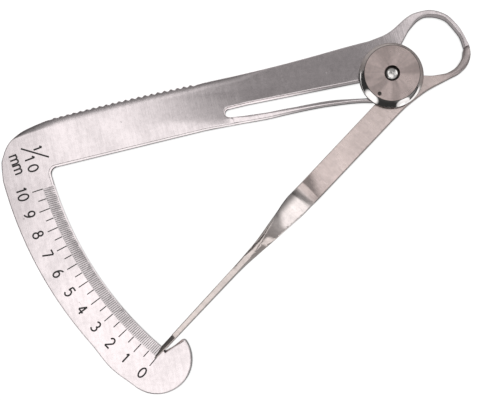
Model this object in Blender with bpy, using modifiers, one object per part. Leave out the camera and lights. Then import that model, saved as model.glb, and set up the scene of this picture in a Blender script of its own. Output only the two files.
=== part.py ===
"""Dental caliper: two curved beaks, a lever with an upright pointer, and a graduated sector.

Lengths are in metres. Plan points are written in the arm's own frame, with x from the pivot along
the arm's axis to the scale, and y to the side where the lever lies. The back is flat on z = 0.
An empty turns this frame to the way the tool lies in the world. Turns are in degrees, counted
counterclockwise from the arm's axis.
"""
import math

import bmesh
import bpy
from mathutils import Matrix, Vector

MM = 0.001

# Directions
ARM_ANGLE = 193.7
LEVER_TURN = 33.0
MARK_TEN_TURN = 4.21
MARK_ZERO_TURN = 36.48
BEAK_TURN = 188.2
SHARP_TURN = 18

# Both flat pieces are cut from one plate
PLATE_THICKNESS = 1.8 * MM
EDGE_BREAK = 0.15 * MM
FACET_SAG = 0.008 * MM
OVERRUN = 1.0 * MM
WELD = 0.0005 * MM

# Beaks: their edges are drawn by (degrees from the closed beaks, share of the measuring radius)
JAW_RADIUS = 18.0 * MM
JAW_GAP = 0.1 * MM
UPPER_JAW_OUTER_SHARES = ((0, 1.067), (12, 1.067), (23, 1.058), (29, 1.036), (35, 0.998), (40.5, 0.944),
                          (48.6, 0.844), (53.7, 0.764), (59.1, 0.675), (66.1, 0.592), (76.1, 0.535),
                          (88.1, 0.518), (100.1, 0.529), (110.7, 0.573))
UPPER_JAW_INNER_SHARES = ((50.6, 0.422), (48.1, 0.554), (46.9, 0.639), (44.9, 0.722), (42.7, 0.806),
                          (39.6, 0.878), (36.1, 0.922), (31.5, 0.967), (26.8, 1.0), (22.1, 1.017),
                          (12.1, 1.022), (7.1, 1.022), (0, 1.006))
LOWER_JAW_OUTER_SHARES = ((95.3, 0.454), (81.9, 0.415), (66.2, 0.411), (52.1, 0.439), (40.1, 0.497),
                          (31.7, 0.578), (25.9, 0.67), (21.5, 0.767), (18.2, 0.867), (14.2, 0.956),
                          (11.4, 1.0), (6.0, 1.047), (0, 1.067))
LOWER_JAW_INNER_SHARES = ((0, 1.006), (1.7, 0.983), (6.3, 0.944), (12.5, 0.85), (15.7, 0.778),
                          (18.2, 0.697), (19.2, 0.611), (20.2, 0.523), (19.6, 0.433))
UPPER_JAW_ROOT_TURN = 245.3
LOWER_JAW_ROOT_TURN = 166.3

# Half lap at the pivot
LAP_RADIUS = 4.0 * MM
LAP_PLAY = 0.2 * MM
LAP_FLOOR = 0.8 * MM
LAP_GAP = 0.2 * MM

# Arm
BACK_OFFSET = 8.95 * MM
BACK_EDGE_SHARES = ((0.2, 1.0), (0.385, 0.97), (0.565, 0.953), (0.79, 0.961), (0.96, 0.976))
UNDERSIDE_OFFSET = 1.55 * MM
UNDERSIDE_ROOT_OFFSET = 1.84 * MM
UNDERSIDE_ROOT_RUN = 6.4 * MM

# Graduated sector and the round foot at its end
OUTER_RADIUS = 91.2 * MM
SECTOR_WIDTH = 10.6 * MM
INNER_RADIUS = OUTER_RADIUS - SECTOR_WIDTH
OUTER_CORNER_SHARES = ((0.861, 0.989), (0.895, 0.932), (0.9265, 0.858), (0.956, 0.713),
                       (0.972, 0.562), (0.984, 0.379), (0.9934, 0.183))
OUTER_ARC_TURN = 1.4
INNER_CORNER_RADIUS = 1.6 * MM
SCALE_BEVEL_WIDTH = 2.35 * MM
SCALE_EDGE_THICKNESS = 1.0 * MM
FOOT_RADIUS = 7.85 * MM
FOOT_TURN = 36.7
FOOT_ARC_TURN = 163.1
FOOT_SWELL = 0.55 * MM
FOOT_SWELL_TURN = 32.5
FOOT_SWELL_SPREAD = 4.5
FOOT_CORNER_RADIUS = 0.7 * MM
FOOT_EDGE_HOLLOW = 0.2 * MM
FOOT_BEVEL_WIDTH = 0.8 * MM
BLADE_SIDE_GAP = 0.15 * MM
SECTOR_STEPS = 36

# Serrated grip on the arm's back edge, which ends short of the sector's corner
GRIP_START = 43.95 * MM
GRIP_PITCH = 1.51 * MM
GRIP_END_GAP = 1.35 * MM
GRIP_TEETH = round((OUTER_RADIUS * OUTER_CORNER_SHARES[0][0] - GRIP_END_GAP - GRIP_START) / GRIP_PITCH)
GRIP_DEPTH = 0.42 * MM
GRIP_LEVEL_SHARES = (0.981, 1.017, 1.002)
GRIP_FADE_SHARE = 0.5
GRIP_TOOTH_STEPS = 6

# Spring tongue slit from the arm: its middle line and width by (share of its length, of its drop, of
# its width at the root)
SLOT_END = 37.6 * MM
SLOT_END_OFFSET = 0.83 * MM
SLOT_END_RADIUS = 1.05 * MM
SLOT_MOUTH_OFFSET = 0.62 * MM
SLOT_STRAIGHT_SHARE = 0.88
FLEX_GAP = 0.2 * MM
TONGUE_END_GAP = 0.8 * MM
TONGUE_LENGTH = SLOT_END - FLEX_GAP / 2 - LAP_RADIUS - TONGUE_END_GAP
TONGUE_DROP = 3.1 * MM
TONGUE_SHARES = ((0, 0, 1.0), (0.07, 0.09, 0.84), (0.17, 0.18, 0.79), (0.26, 0.25, 0.72),
                 (0.36, 0.27, 0.66), (0.45, 0.31, 0.58), (0.55, 0.35, 0.56), (0.65, 0.41, 0.56),
                 (0.74, 0.51, 0.53), (0.83, 0.65, 0.41), (0.88, 0.74, 0.37), (0.93, 0.84, 0.36),
                 (1, 1, 0.45))

# Lever: a flat strip that twists a quarter turn into an upright blade with a pointer
POINTER_REACH = 2.55 * MM
LEVER_LENGTH = INNER_RADIUS + POINTER_REACH
STRIP_LEFT = 1.7 * MM
STRIP_WIDTH = 5.3 * MM
TWIST_START = 36.0 * MM
TWIST_LENGTH = 21.0 * MM
TWIST_END = TWIST_START + TWIST_LENGTH
TWIST_SWAY = 0.22 * MM
TWIST_STEPS = 21
BLADE_STEPS = 5
BLADE_ROOT_HEIGHT = 2.5 * MM
BLADE_TIP_HEIGHT = 1.9 * MM
BLADE_ROOT_THICKNESS = 1.4 * MM
BLADE_TIP_THICKNESS = 1.1 * MM
NARROWING_SHARES = ((0, 1), (0.1, 0.89), (0.19, 0.7), (0.29, 0.48), (0.38, 0.32), (0.48, 0.17), (0.57, 0.08),
                    (0.67, 0.03), (1, 0))
THINNING_END_SHARE = 0.5

# The raised corner of the twist is ground off: a slope down to a level stretch
GRIND_START = 44.5 * MM
GRIND_LEVEL_START = 52.5 * MM
GRIND_START_HEIGHT = 3.16 * MM
GRIND_LEVEL_HEIGHT = 2.75 * MM

# Pointer at the blade's tip
BLADE_END_GAP = 0.4 * MM
POINTER_HEIGHT = 0.42 * MM
POINTER_THICKNESS = 0.3 * MM
POINTER_LEAN = 0.15 * MM
POINTER_LIFT = 0.15 * MM

# Disc, its pin and the rivet
DISC_GAP = 0.2 * MM
DISC_RADIUS = 7.3 * MM
DISC_FACE_RADIUS = 6.25 * MM
DISC_RIM_HEIGHT = 0.5 * MM
DISC_HEIGHT = 2.0 * MM
DISC_RECESS_RADIUS = 1.7 * MM
DISC_RECESS_DEPTH = 0.85 * MM
DISC_PIN_RADIUS = 0.38 * MM
DISC_PIN_OFFSET = 5.4 * MM
DISC_PIN_TURN = 44.8
DISC_PIN_PLAY = 0.08 * MM
SHANK_RADIUS = 1.0 * MM
SHANK_PLAY = 0.1 * MM
HEAD_RADIUS = 1.4 * MM
HEAD_RIM_HEIGHT = 0.2 * MM
HEAD_DOME_HEIGHT = 0.5 * MM
HEAD_LIFT = 0.15 * MM
TAIL_RADIUS = 1.5 * MM
TAIL_DEPTH = 0.4 * MM
TAIL_GAP = 0.15 * MM

TURNED_STEPS = 64
DOME_STEPS = 6


def direction(turn):
    """Unit vector in the plan, turned from the arm's axis."""
    return Vector((math.cos(math.radians(turn)), math.sin(math.radians(turn)), 0))


def polar(radius, turn):
    return radius * direction(turn)


def lever_point(along, right):
    """Plan point from its place along the lever's axis and to the right of it."""
    return along * direction(LEVER_TURN) + right * direction(LEVER_TURN + 90)


def arc(centre, radius, start, end):
    """Points of a round stretch, fine enough to stay within the facet sag."""
    step = 2 * math.degrees(math.acos(1 - min(FACET_SAG / radius, 0.5)))
    count = max(2, math.ceil(abs(end - start) / step))
    return [centre + polar(radius, start + (end - start) * i / count) for i in range(count + 1)]


def smooth(points, steps=3):
    """Catmull-Rom curve through the given points."""
    ends = [2 * points[0] - points[1]] + points + [2 * points[-1] - points[-2]]
    curve = []
    for before, start, end, after in zip(ends, ends[1:], ends[2:], ends[3:]):
        for i in range(steps):
            t = i / steps
            curve.append(0.5 * (2 * start + t * (end - before)
                                + t * t * (2 * before - 5 * start + 4 * end - after)
                                + t * t * t * (3 * start - before - 3 * end + after)))
    return curve + [points[-1]]


def read_shares(table, place):
    """Straight-line value at a place in a table of (place, share)."""
    if place <= table[0][0]:
        return table[0][1]
    for (low, low_share), (high, high_share) in zip(table, table[1:]):
        if place <= high:
            return low_share + (high_share - low_share) * (place - low) / (high - low)
    return table[-1][1]


def jaw_edge(shares, side):
    """One edge of a beak, on the arm's side (+1) or the lever's side (-1) of where the beaks meet."""
    seam = math.degrees(JAW_GAP / 2 / JAW_RADIUS)
    return [polar(JAW_RADIUS * share, BEAK_TURN + side * (turn + seam)) for turn, share in shares]


def grip_edge():
    """Serrated stretch of the back edge: round teeth that fade towards the sector."""
    start_share, middle_share, end_share = GRIP_LEVEL_SHARES
    swell_share = middle_share - (start_share + end_share) / 2
    count = GRIP_TEETH * GRIP_TOOTH_STEPS
    points = []
    for i in range(count + 1):
        run = i / count
        level_share = start_share + (end_share - start_share) * run + 4 * swell_share * run * (1 - run)
        depth = GRIP_DEPTH * (1 - GRIP_FADE_SHARE * run * run)
        height = BACK_OFFSET * level_share - depth / 2 * math.cos(2 * math.pi * i / GRIP_TOOTH_STEPS)
        points.append(Vector((GRIP_START + GRIP_PITCH * i / GRIP_TOOTH_STEPS, -height, 0)))
    return points


def sector_outer_edge():
    """Outer arc from the arm's corner to the foot, with the slight swell before the foot."""
    points = []
    for i in range(SECTOR_STEPS + 1):
        turn = OUTER_ARC_TURN + (FOOT_TURN - OUTER_ARC_TURN) * i / SECTOR_STEPS
        reach = min(1, abs(turn - FOOT_SWELL_TURN) / FOOT_SWELL_SPREAD)
        points.append(polar(OUTER_RADIUS + FOOT_SWELL * math.cos(math.pi / 2 * reach) ** 2, turn))
    return points


def reading_right():
    """Right face of the pointer's tip, which lies on the zero mark when the beaks are closed."""
    return LEVER_LENGTH * math.sin(math.radians(MARK_ZERO_TURN - LEVER_TURN))


def blade_right():
    """Right face of the upright blade."""
    return reading_right() + POINTER_LEAN


def blade_end():
    """The blade stops short of the sector's inner arc: only the pointer reaches over the scale."""
    return math.sqrt((INNER_RADIUS - BLADE_END_GAP) ** 2 - blade_right() ** 2)


def foot_edge():
    """Start and end of the foot's straight edge, and the middle and the turn of its round corner."""
    end_right = blade_right() + BLADE_SIDE_GAP
    end = lever_point(math.sqrt(INNER_RADIUS ** 2 - end_right ** 2), end_right)
    centre = polar(OUTER_RADIUS - FOOT_RADIUS, FOOT_TURN)
    corner = centre + polar(FOOT_RADIUS - FOOT_CORNER_RADIUS, FOOT_TURN + FOOT_ARC_TURN)
    run = end - corner
    normal_turn = math.degrees(math.atan2(run.y, run.x) + math.asin(FOOT_CORNER_RADIUS / run.length)) - 90
    return corner + polar(FOOT_CORNER_RADIUS, normal_turn), end, corner, normal_turn


def foot_outline():
    """Foot from the outer arc round to the inner arc."""
    touch, end, corner, normal_turn = foot_edge()
    arc_end = FOOT_TURN + FOOT_ARC_TURN
    rounding = arc(corner, FOOT_CORNER_RADIUS, arc_end, normal_turn % 360)
    middle = (touch + end) / 2 - FOOT_EDGE_HOLLOW * direction(normal_turn)
    circle = arc(polar(OUTER_RADIUS - FOOT_RADIUS, FOOT_TURN), FOOT_RADIUS, FOOT_TURN, arc_end)
    return circle + rounding[1:] + smooth([touch, middle, end])[1:]


def sector_inner_edge():
    """Inner arc from the foot to the arm, and the rounded corner under the arm."""
    end = foot_edge()[1]
    rise = UNDERSIDE_OFFSET + INNER_CORNER_RADIUS
    reach = INNER_RADIUS - INNER_CORNER_RADIUS
    corner = Vector((math.sqrt(reach ** 2 - rise ** 2), rise, 0))
    corner_turn = math.degrees(math.atan2(corner.y, corner.x))
    end_turn = math.degrees(math.atan2(end.y, end.x))
    inner = arc(Vector(), INNER_RADIUS, end_turn, corner_turn)
    return inner[1:] + arc(corner, INNER_CORNER_RADIUS, corner_turn, -90)[1:]


def slot_edge():
    """Underside of the arm by the slit, the slot's round end, and its upper edge to the mouth."""
    centre = Vector((SLOT_END, -SLOT_END_OFFSET, 0))
    split_turn = math.degrees(math.acos(FLEX_GAP / 2 / SLOT_END_RADIUS))
    line = [Vector((SLOT_END + UNDERSIDE_ROOT_RUN, UNDERSIDE_OFFSET, 0))]
    line.append(Vector((SLOT_END + FLEX_GAP / 2, UNDERSIDE_ROOT_OFFSET, 0)))
    line += arc(centre, SLOT_END_RADIUS, split_turn, -90)
    line.append(Vector((SLOT_END * SLOT_STRAIGHT_SHARE, -SLOT_END_OFFSET - SLOT_END_RADIUS, 0)))
    return line


def frame_outline():
    """Upper beak, arm, sector, foot and slot, closed by the round lobe of the half lap."""
    back = [Vector((GRIP_START * x, -BACK_OFFSET * y, 0)) for x, y in BACK_EDGE_SHARES]
    corner = [Vector((OUTER_RADIUS * x, -BACK_OFFSET * y, 0)) for x, y in OUTER_CORNER_SHARES]
    grip = grip_edge()
    outer = sector_outer_edge()
    mouth_turn = -math.degrees(math.asin(SLOT_MOUTH_OFFSET / LAP_RADIUS))
    line = smooth(jaw_edge(UPPER_JAW_INNER_SHARES, 1))
    line += smooth(jaw_edge(UPPER_JAW_OUTER_SHARES, 1) + back + grip[:1])
    line += grip[1:]
    line += smooth(grip[-1:] + corner + outer[:1])[1:]
    line += outer[1:]
    line += foot_outline()[1:]
    line += sector_inner_edge()
    line += slot_edge()
    line += arc(Vector(), LAP_RADIUS, mouth_turn, UPPER_JAW_ROOT_TURN)
    return line


def tongue_outline():
    """Both edges of the tongue about its curved middle line, and its round tip."""
    root_low = SLOT_END_RADIUS - SLOT_END_OFFSET
    root = Vector((SLOT_END - FLEX_GAP / 2, (UNDERSIDE_ROOT_OFFSET + root_low) / 2, 0))
    root_width = UNDERSIDE_ROOT_OFFSET - root_low
    middle = [root + Vector((-TONGUE_LENGTH * x, TONGUE_DROP * y, 0)) for x, y, _ in TONGUE_SHARES]
    upper = []
    lower = []
    for before, point, after, shares in zip(middle[:1] + middle, middle, middle[1:] + middle[-1:], TONGUE_SHARES):
        run = after - before
        side = Vector((-run.y, run.x, 0)).normalized() * root_width * shares[2] / 2
        upper.append(point + side)
        lower.append(point - side)
    upper[0] = root + Vector((0, -root_width / 2, 0))
    lower[0] = root + Vector((0, root_width / 2, 0))
    tip_side = upper[-1] - middle[-1]
    tip_turn = math.degrees(math.atan2(tip_side.y, tip_side.x)) % 360
    tip = arc(middle[-1], tip_side.length, tip_turn, tip_turn - 180)
    return smooth(upper) + tip[1:-1] + list(reversed(smooth(lower)))


def twist_share(along):
    """Share of the twist's length that lies behind a place along the lever."""
    return min(1, max(0, (along - TWIST_START) / TWIST_LENGTH))


def blade_share(along):
    """Share of the blade's length that lies behind a place along the lever."""
    return min(1, max(0, (along - TWIST_END) / (blade_end() - TWIST_END)))


def strip_width(along):
    """Width of the flat strip, which narrows to the height of the blade."""
    left_over = read_shares(NARROWING_SHARES, twist_share(along))
    blade_height = BLADE_ROOT_HEIGHT + (BLADE_TIP_HEIGHT - BLADE_ROOT_HEIGHT) * blade_share(along)
    return blade_height + (STRIP_WIDTH - BLADE_ROOT_HEIGHT) * left_over


def strip_thickness(along):
    """Plate thickness, drawn down along the twist's first half, the blade and the pointer in turn."""
    thinning_share = min(1, twist_share(along) / THINNING_END_SHARE)
    pointer_share = max(0, (along - blade_end()) / (LEVER_LENGTH - blade_end()))
    return (PLATE_THICKNESS + (BLADE_ROOT_THICKNESS - PLATE_THICKNESS) * thinning_share
            + (BLADE_TIP_THICKNESS - BLADE_ROOT_THICKNESS) * blade_share(along)
            + (POINTER_THICKNESS - BLADE_TIP_THICKNESS) * pointer_share)


def lever_outline():
    """Lower beak, hub, strip and pointer as they lie before the strip is twisted."""
    middle = STRIP_LEFT + STRIP_WIDTH / 2
    strip_turn = LEVER_TURN + math.degrees(math.asin(STRIP_LEFT / LAP_RADIUS))
    stations = [TWIST_START + TWIST_LENGTH * share for share, _ in NARROWING_SHARES]
    stations.append(blade_end())
    left = [lever_point(along, middle - strip_width(along) / 2) for along in stations]
    right = [lever_point(along, middle + strip_width(along) / 2) for along in reversed(stations)]
    pointer_left = middle - BLADE_TIP_HEIGHT / 2
    line = smooth(jaw_edge(LOWER_JAW_OUTER_SHARES, -1))
    line += smooth(jaw_edge(LOWER_JAW_INNER_SHARES, -1))
    line += arc(Vector(), LAP_RADIUS, LOWER_JAW_ROOT_TURN, strip_turn + 360)
    line += smooth(left)
    line.append(lever_point(LEVER_LENGTH, pointer_left))
    line.append(lever_point(LEVER_LENGTH, pointer_left + POINTER_HEIGHT))
    line.append(lever_point(blade_end(), pointer_left + POINTER_HEIGHT))
    line += smooth(right)
    return line


def twisted(point):
    """Where a point of the flat strip goes: its left edge rises, and its right edge stays off the table."""
    along = point.dot(direction(LEVER_TURN))
    right = point.dot(direction(LEVER_TURN + 90))
    share = twist_share(along)
    if share == 0:
        return point.copy()
    share = share * share * (3 - 2 * share)
    turn = math.pi / 2 * share
    thickness = strip_thickness(along)
    flat_middle = STRIP_LEFT + STRIP_WIDTH / 2
    across = right - flat_middle
    through = (point.z - PLATE_THICKNESS / 2) * thickness / PLATE_THICKNESS
    lean = POINTER_LEAN * max(0, (along - blade_end()) / (LEVER_LENGTH - blade_end()))
    middle = flat_middle + (blade_right() - lean - thickness / 2 - flat_middle) * share
    middle += TWIST_SWAY * math.sin(math.pi * share)
    top =PLATE_THICKNESS + POINTER_LIFT + POINTER_HEIGHT
    lift = (top - BLADE_TIP_HEIGHT) * (along - TWIST_START) / (LEVER_LENGTH - TWIST_START)
    height = (strip_width(along) * math.sin(turn) + thickness * math.cos(turn)) / 2 + lift
    place = lever_point(along, middle + across * math.cos(turn) + through * math.sin(turn))
    place.z = height - across * math.sin(turn) + through * math.cos(turn)
    return place


def clear_scene():
    for thing in list(bpy.data.objects):
        bpy.data.objects.remove(thing, do_unlink=True)


def new_collection(name):
    collection = bpy.data.collections.new(name)
    bpy.context.scene.collection.children.link(collection)
    return collection


def metal(name, colour, roughness):
    material = bpy.data.materials.new(name)
    material.use_nodes = True
    shader = material.node_tree.nodes["Principled BSDF"]
    shader.inputs["Base Color"].default_value = (*colour, 1)
    shader.inputs["Metallic"].default_value = 1.0
    shader.inputs["Roughness"].default_value = roughness
    material.diffuse_color = (*colour, 1)
    return material


def add_object(name, data, collection, parent):
    thing = bpy.data.objects.new(name, data)
    collection.objects.link(thing)
    thing.parent = parent
    return thing


def flat_plate(name, outline):
    """Mesh of the plate cut to an outline, with its edges broken, lying on z = 0."""
    curve = bpy.data.curves.new(name + "_outline", "CURVE")
    curve.dimensions = "2D"
    curve.fill_mode = "BOTH"
    curve.extrude = PLATE_THICKNESS / 2 - EDGE_BREAK
    curve.bevel_depth = EDGE_BREAK
    curve.bevel_resolution = 0
    curve.offset = -EDGE_BREAK
    spline = curve.splines.new("POLY")
    spline.points.add(len(outline) - 1)
    for point, place in zip(spline.points, outline):
        point.co = (place.x, place.y, 0, 1)
    spline.use_cyclic_u = True
    guide = bpy.data.objects.new(name + "_outline", curve)
    bpy.context.scene.collection.objects.link(guide)
    mesh = bpy.data.meshes.new_from_object(guide.evaluated_get(bpy.context.evaluated_depsgraph_get()))
    bpy.data.objects.remove(guide, do_unlink=True)
    sheet = bmesh.new()
    sheet.from_mesh(mesh)
    bmesh.ops.remove_doubles(sheet, verts=sheet.verts, dist=WELD)
    bmesh.ops.translate(sheet, verts=sheet.verts, vec=(0, 0, PLATE_THICKNESS / 2))
    bmesh.ops.recalc_face_normals(sheet, faces=sheet.faces)
    sheet.to_mesh(mesh)
    sheet.free()
    mesh.name = name
    return mesh


def twist_strip(mesh):
    """Cuts the strip across at close stations and bends it into the blade."""
    sheet = bmesh.new()
    sheet.from_mesh(mesh)
    across = direction(LEVER_TURN)
    stations = [TWIST_START + TWIST_LENGTH * i / TWIST_STEPS for i in range(TWIST_STEPS + 1)]
    stations += [TWIST_END + (blade_end() - TWIST_END) * i / BLADE_STEPS for i in range(1, BLADE_STEPS)]
    for along in stations:
        geometry = list(sheet.verts) + list(sheet.edges) + list(sheet.faces)
        bmesh.ops.bisect_plane(sheet, geom=geometry, dist=WELD, plane_co=across * along, plane_no=across)
    bmesh.ops.triangulate(sheet, faces=sheet.faces)
    for vertex in sheet.verts:
        vertex.co = twisted(vertex.co)
    sheet.to_mesh(mesh)
    sheet.free()


def turned_object(name, profile, collection, parent, closed):
    """Profile of (radius, height) turned about z: it runs down the outer side."""
    mesh = bpy.data.meshes.new(name)
    edges = [(i, i + 1) for i in range(len(profile) - 1)]
    if closed:
        edges.append((len(profile) - 1, 0))
    mesh.from_pydata([(radius, 0, height) for radius, height in profile], edges, [])
    thing = add_object(name, mesh, collection, parent)
    screw = thing.modifiers.new("Turn", "SCREW")
    screw.steps = TURNED_STEPS
    screw.render_steps = TURNED_STEPS
    screw.use_merge_vertices = True
    screw.merge_threshold = WELD
    return thing


def cylinder(name, radius, low, high, collection, parent, place=Vector()):
    mesh = bpy.data.meshes.new(name)
    solid = bmesh.new()
    bmesh.ops.create_cone(solid, cap_ends=True, segments=TURNED_STEPS, radius1=radius, radius2=radius,
                          depth=high - low)
    solid.to_mesh(mesh)
    solid.free()
    thing = add_object(name, mesh, collection, parent)
    thing.location = (place.x, place.y, (low + high) / 2)
    return thing


def scale_cutter(collection, parent):
    """Wedge swept along the sector's inner edge, from mark ten to mark zero."""
    slope = (PLATE_THICKNESS - SCALE_EDGE_THICKNESS) / SCALE_BEVEL_WIDTH
    inner = INNER_RADIUS - OVERRUN
    outer = INNER_RADIUS + SCALE_BEVEL_WIDTH + OVERRUN
    top = PLATE_THICKNESS + slope * OVERRUN
    section = ((inner, SCALE_EDGE_THICKNESS - slope * OVERRUN), (outer, top), (inner, top))
    solid = bmesh.new()
    start = direction(MARK_TEN_TURN)
    corners = [solid.verts.new((radius * start.x, radius * start.y, height)) for radius, height in section]
    face = solid.faces.new(corners)
    bmesh.ops.spin(solid, geom=list(solid.verts) + list(solid.edges) + [face], axis=(0, 0, 1),
                   angle=math.radians(MARK_ZERO_TURN - MARK_TEN_TURN), steps=SECTOR_STEPS)
    bmesh.ops.recalc_face_normals(solid, faces=solid.faces)
    mesh = bpy.data.meshes.new("scale_cutter")
    solid.to_mesh(mesh)
    solid.free()
    return add_object("scale_cutter", mesh, collection, parent)


def foot_bevel_cutter(collection, parent):
    """Square bar lying cornerwise along the top of the foot's straight edge."""
    touch, end, _, _ = foot_edge()
    run = end - touch
    side = FOOT_BEVEL_WIDTH * math.sqrt(2)
    solid = bmesh.new()
    bmesh.ops.create_cube(solid, size=1.0)
    bmesh.ops.scale(solid, verts=solid.verts, vec=(run.length + FOOT_CORNER_RADIUS, side, side))
    bmesh.ops.rotate(solid, verts=solid.verts, matrix=Matrix.Rotation(math.pi / 4, 3, "X"))
    mesh = bpy.data.meshes.new("foot_bevel_cutter")
    solid.to_mesh(mesh)
    solid.free()
    thing = add_object("foot_bevel_cutter", mesh, collection, parent)
    thing.location = (touch + end) / 2 + Vector((0, 0, PLATE_THICKNESS))
    thing.rotation_euler.z = math.atan2(run.y, run.x)
    return thing


def grind_cutter(collection, parent):
    """Block over the twist: its underside slopes down along the lever and then runs level to the blade."""
    top = PLATE_THICKNESS + STRIP_WIDTH
    profile = ((GRIND_START, GRIND_START_HEIGHT), (GRIND_LEVEL_START, GRIND_LEVEL_HEIGHT),
               (TWIST_END + OVERRUN, GRIND_LEVEL_HEIGHT), (TWIST_END + OVERRUN, top), (GRIND_START, top))
    near = STRIP_LEFT - OVERRUN
    far = STRIP_LEFT + STRIP_WIDTH + OVERRUN
    solid = bmesh.new()
    corners = []
    for along, height in profile:
        place = lever_point(along, near)
        corners.append(solid.verts.new((place.x, place.y, height)))
    side = solid.faces.new(corners)
    grown = bmesh.ops.extrude_face_region(solid, geom=[side])["geom"]
    moved = [thing for thing in grown if isinstance(thing, bmesh.types.BMVert)]
    bmesh.ops.translate(solid, verts=moved, vec=lever_point(0, far - near))
    bmesh.ops.recalc_face_normals(solid, faces=solid.faces)
    mesh = bpy.data.meshes.new("grind_cutter")
    solid.to_mesh(mesh)
    solid.free()
    return add_object("grind_cutter", mesh, collection, parent)


def cut(thing, cutter):
    cutter.hide_render = True
    cutter.display_type = "WIRE"
    boolean = thing.modifiers.new(cutter.name, "BOOLEAN")
    boolean.operation = "DIFFERENCE"
    boolean.solver = "EXACT"
    boolean.object = cutter


def shade(mesh):
    mesh.shade_smooth()
    mesh.set_sharp_from_angle(angle=math.radians(SHARP_TURN))


def apply_modifiers(collection):
    """Makes plain meshes of the cut and turned pieces, so that their new edges are shaded sharp as well."""
    graph = bpy.context.evaluated_depsgraph_get()
    pieces = [thing for thing in collection.objects if len(thing.modifiers)]
    meshes = [bpy.data.meshes.new_from_object(thing.evaluated_get(graph)) for thing in pieces]
    for thing, mesh in zip(pieces, meshes):
        thing.modifiers.clear()
        thing.data = mesh
        shade(mesh)


def build_frame(parts, cutters, tool, material):
    mesh = flat_plate("frame_plate", frame_outline())
    mesh.materials.append(material)
    frame = add_object("frame_plate", mesh, parts, tool)
    lap = cylinder("frame_lap_cutter", LAP_RADIUS + LAP_PLAY, LAP_FLOOR, PLATE_THICKNESS + OVERRUN, cutters, tool)
    sink_slope = (TAIL_RADIUS - SHANK_RADIUS) / TAIL_DEPTH
    hole = SHANK_RADIUS + SHANK_PLAY
    sink = TAIL_RADIUS + TAIL_GAP
    sink_top = (sink - hole) / sink_slope
    profile = ((0, PLATE_THICKNESS), (hole, PLATE_THICKNESS), (hole, sink_top),
               (sink + sink_slope * OVERRUN, -OVERRUN), (0, -OVERRUN))
    cut(frame, lap)
    cut(frame, turned_object("frame_hole_cutter", profile, cutters, tool, False))
    cut(frame, scale_cutter(cutters, tool))
    cut(frame, foot_bevel_cutter(cutters, tool))


def build_tongue(parts, tool, material):
    """The spring's origin is at its root, where it bends."""
    root = Vector((SLOT_END, (UNDERSIDE_ROOT_OFFSET + SLOT_END_RADIUS - SLOT_END_OFFSET) / 2, 0))
    mesh = flat_plate("return_spring", tongue_outline())
    mesh.transform(Matrix.Translation(-root))
    shade(mesh)
    mesh.materials.append(material)
    spring = add_object("return_spring", mesh, parts, tool)
    spring.location = root


def build_lever(parts, cutters, pivot, material):
    mesh = flat_plate("lever", lever_outline())
    twist_strip(mesh)
    mesh.materials.append(material)
    lever = add_object("lever", mesh, parts, pivot)
    lap_top = LAP_FLOOR + LAP_GAP
    lap = cylinder("lever_lap_cutter", LAP_RADIUS + LAP_PLAY, -OVERRUN, lap_top, cutters, pivot)
    hole = cylinder("lever_hole_cutter", SHANK_RADIUS + SHANK_PLAY, -OVERRUN, PLATE_THICKNESS + OVERRUN,
                    cutters, pivot)
    cut(lever, lap)
    cut(lever, hole)
    cut(lever, grind_cutter(cutters, pivot))


def build_disc(parts, cutters, pivot, disc_material, pin_material):
    """Disc with a bevelled rim and a recess for the rivet's head, and the pin through its face."""
    low = PLATE_THICKNESS + DISC_GAP
    high = low + DISC_HEIGHT
    floor = high - DISC_RECESS_DEPTH
    hole = SHANK_RADIUS + SHANK_PLAY
    profile = ((DISC_RECESS_RADIUS, high), (DISC_FACE_RADIUS, high), (DISC_RADIUS, low + DISC_RIM_HEIGHT),
               (DISC_RADIUS, low), (hole, low), (hole, floor), (DISC_RECESS_RADIUS, floor))
    disc = turned_object("pivot_disc", profile, parts, pivot, True)
    disc.data.materials.append(disc_material)
    place = polar(DISC_PIN_OFFSET, DISC_PIN_TURN)
    cut(disc, cylinder("pin_hole_cutter", DISC_PIN_RADIUS + DISC_PIN_PLAY, low - OVERRUN, high + OVERRUN,
                       cutters, pivot, place))
    pin = cylinder("disc_pin", DISC_PIN_RADIUS, low, high - DISC_PIN_PLAY, parts, pivot, place)
    shade(pin.data)
    pin.data.materials.append(pin_material)


def build_rivet(parts, tool, material):
    """Rivet with a domed head in the disc's recess and a tail spread flush with the back."""
    seat = PLATE_THICKNESS + DISC_GAP + DISC_HEIGHT - DISC_RECESS_DEPTH + HEAD_LIFT
    rim = seat + HEAD_RIM_HEIGHT
    profile = [(HEAD_RADIUS * math.sin(math.pi / 2 * i / DOME_STEPS),
                rim + HEAD_DOME_HEIGHT * math.cos(math.pi / 2 * i / DOME_STEPS)) for i in range(DOME_STEPS + 1)]
    profile += [(HEAD_RADIUS, seat), (SHANK_RADIUS, seat), (SHANK_RADIUS, TAIL_DEPTH), (TAIL_RADIUS, 0), (0, 0)]
    profile[0] = (0, profile[0][1])
    rivet = turned_object("pivot_rivet", profile, parts, tool, False)
    rivet.data.materials.append(material)


def main():
    clear_scene()
    parts = new_collection("dental_caliper")
    cutters = new_collection("cutters")
    tool = add_object("tool_frame", None, parts, None)
    tool.rotation_euler.z = math.radians(ARM_ANGLE)
    pivot = add_object("lever_pivot", None, parts, tool)
    steel = metal("ground_steel", (0.62, 0.6, 0.58), 0.32)
    lever_steel = metal("lever_steel", (0.64, 0.6, 0.57), 0.28)
    disc_steel = metal("disc_steel", (0.5, 0.46, 0.43), 0.35)
    dark_steel = metal("dark_steel", (0.1, 0.09, 0.08), 0.5)
    bright_steel = metal("bright_steel", (0.78, 0.77, 0.75), 0.2)
    build_frame(parts, cutters, tool, steel)
    build_tongue(parts, tool, steel)
    build_lever(parts, cutters, pivot, lever_steel)
    build_disc(parts, cutters, pivot, disc_steel, dark_steel)
    build_rivet(parts, tool, bright_steel)
    apply_modifiers(parts)


main()
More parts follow.
